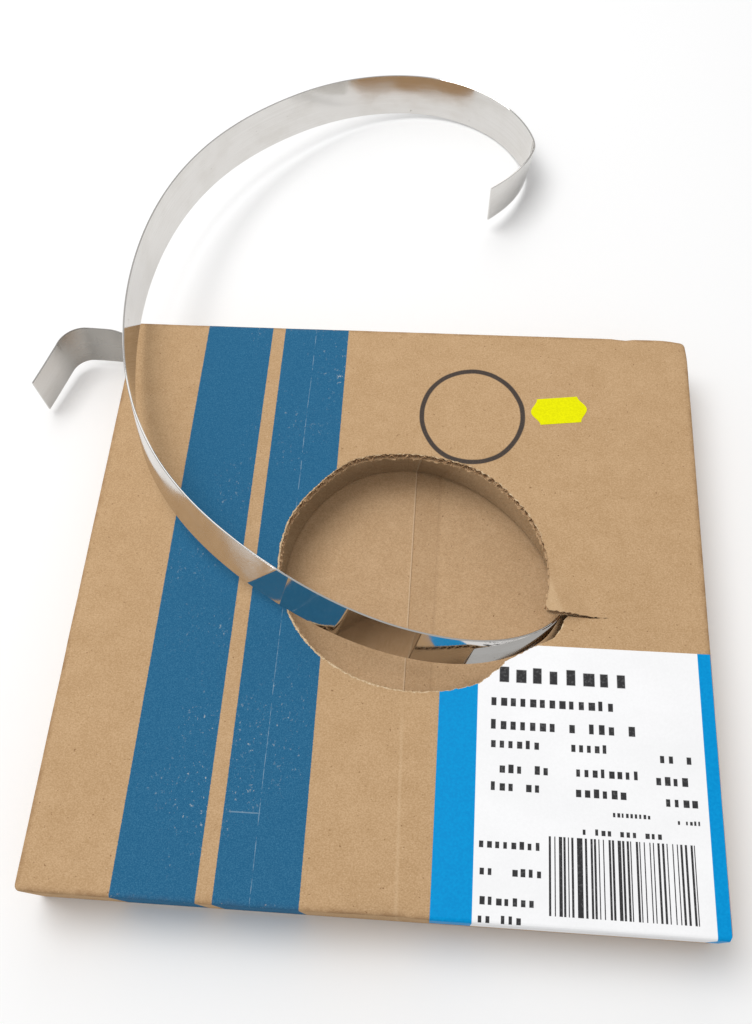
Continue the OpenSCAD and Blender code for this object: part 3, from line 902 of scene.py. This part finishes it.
# Price sticker: a small bright yellow paper sticker with waved short sides, of the sort a price gun lays.
# It is pressed on behind the hole and left blank.
sticker_x, sticker_y, sticker_turn = 62.3 * mm, 77.6 * mm, 7
sticker_half, sticker_wave, sticker_high = 8, 1.5, 6
half = [(sticker_half + sticker_wave * (1 + math.cos(math.pi * y / sticker_high)), y)
        for y in np.linspace(-sticker_high, sticker_high, 25)]
outline = [Vector(p) * mm for p in half] + [Vector((-p[0], -p[1])) * mm for p in half]
spot = Matrix.Translation((sticker_x, sticker_y, 0)) @ Matrix.Rotation(math.radians(sticker_turn), 4, "Z")
sticker = prism([(spot @ p.to_3d())[:2] for p in outline], tall, tall + paper)
sticker.name = sticker.data.name = "sticker_sheet"
bpy.ops.object.mode_set(mode="EDIT")
pick(sticker, "EDGE", lambda e: all(v.co.z > tall + paper / 2 for v in e.verts))
bpy.ops.mesh.bevel(offset=0.05 * mm, segments=1, affect="EDGES")
bpy.ops.object.mode_set(mode="OBJECT")
fluor, tree, shader = new_finish("yellow_sticker")
at = node(tree, "TexCoord")[3]
fibre = grain(tree, at, (1500, 1500, 1500), 4.0, 0.6)
colour = tint(tree, ramp(tree, fibre, 0.3, 0.7), rgb(222, 221, 0), rgb(238, 237, 2))
paper_finish(tree, shader, colour, fibre, 0.6, 0.03 * mm)
sticker.data.materials.append(fluor)
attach(sticker, "root")
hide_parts("price_sticker")

# Studio: a pale floor under an even white sky, with one soft light overhead and a weaker one behind.
# The camera stands over the carton's front edge and looks down.
floor_size, sky = 6, 0.54
light_size, lit_spot = 0.8, Vector((0, 0.03, 0))
camera_at, camera_lens = (20.2 * mm, -152.8 * mm, 351.2 * mm + tall), 36.91
camera_pan, camera_tilt, camera_roll = 8.39, 27.63, -4.89
start_piece()
bpy.ops.mesh.primitive_plane_add(size=floor_size)
floor = bpy.context.object
floor.name = "studio_floor"
pale, tree, shader = new_finish("pale_floor")
shader["Base Color"].default_value = (0.94, 0.94, 0.94, 1)
shader["Roughness"].default_value = 0.7
floor.data.materials.append(pale)

scene = bpy.context.scene
world = bpy.data.worlds.new("studio")
scene.world = world
world.use_nodes = True
world.node_tree.nodes["Background"].inputs["Color"].default_value = (1, 1, 1, 1)
world.node_tree.nodes["Background"].inputs["Strength"].default_value = sky


def soft_box(name, at, watts):
    """A square light that looks at the carton."""
    data = bpy.data.lights.new(name, "AREA")
    data.shape, data.size, data.energy = "SQUARE", light_size, watts
    made = bpy.data.objects.new(name, data)
    made.location = at
    made.rotation_euler = (lit_spot - Vector(at)).to_track_quat("-Z", "Y").to_euler()
    scene.collection.objects.link(made)


soft_box("key_light", (-0.42, 0.25, 1.25), 9.9)
soft_box("back_light", (-0.05, 1.05, 1.0), 1.9)

camera = bpy.data.objects.new("camera", bpy.data.cameras.new("camera"))
camera.data.lens, camera.data.sensor_width, camera.data.sensor_fit = camera_lens, 36, "AUTO"
camera.matrix_world = (Matrix.Translation(camera_at) @ Matrix.Rotation(math.radians(camera_pan), 4, "Z")
                       @ Matrix.Rotation(math.radians(camera_tilt), 4, "X")
                       @ Matrix.Rotation(math.radians(camera_roll), 4, "Z"))
scene.collection.objects.link(camera)
scene.camera = camera
scene.view_settings.view_transform = "Standard"
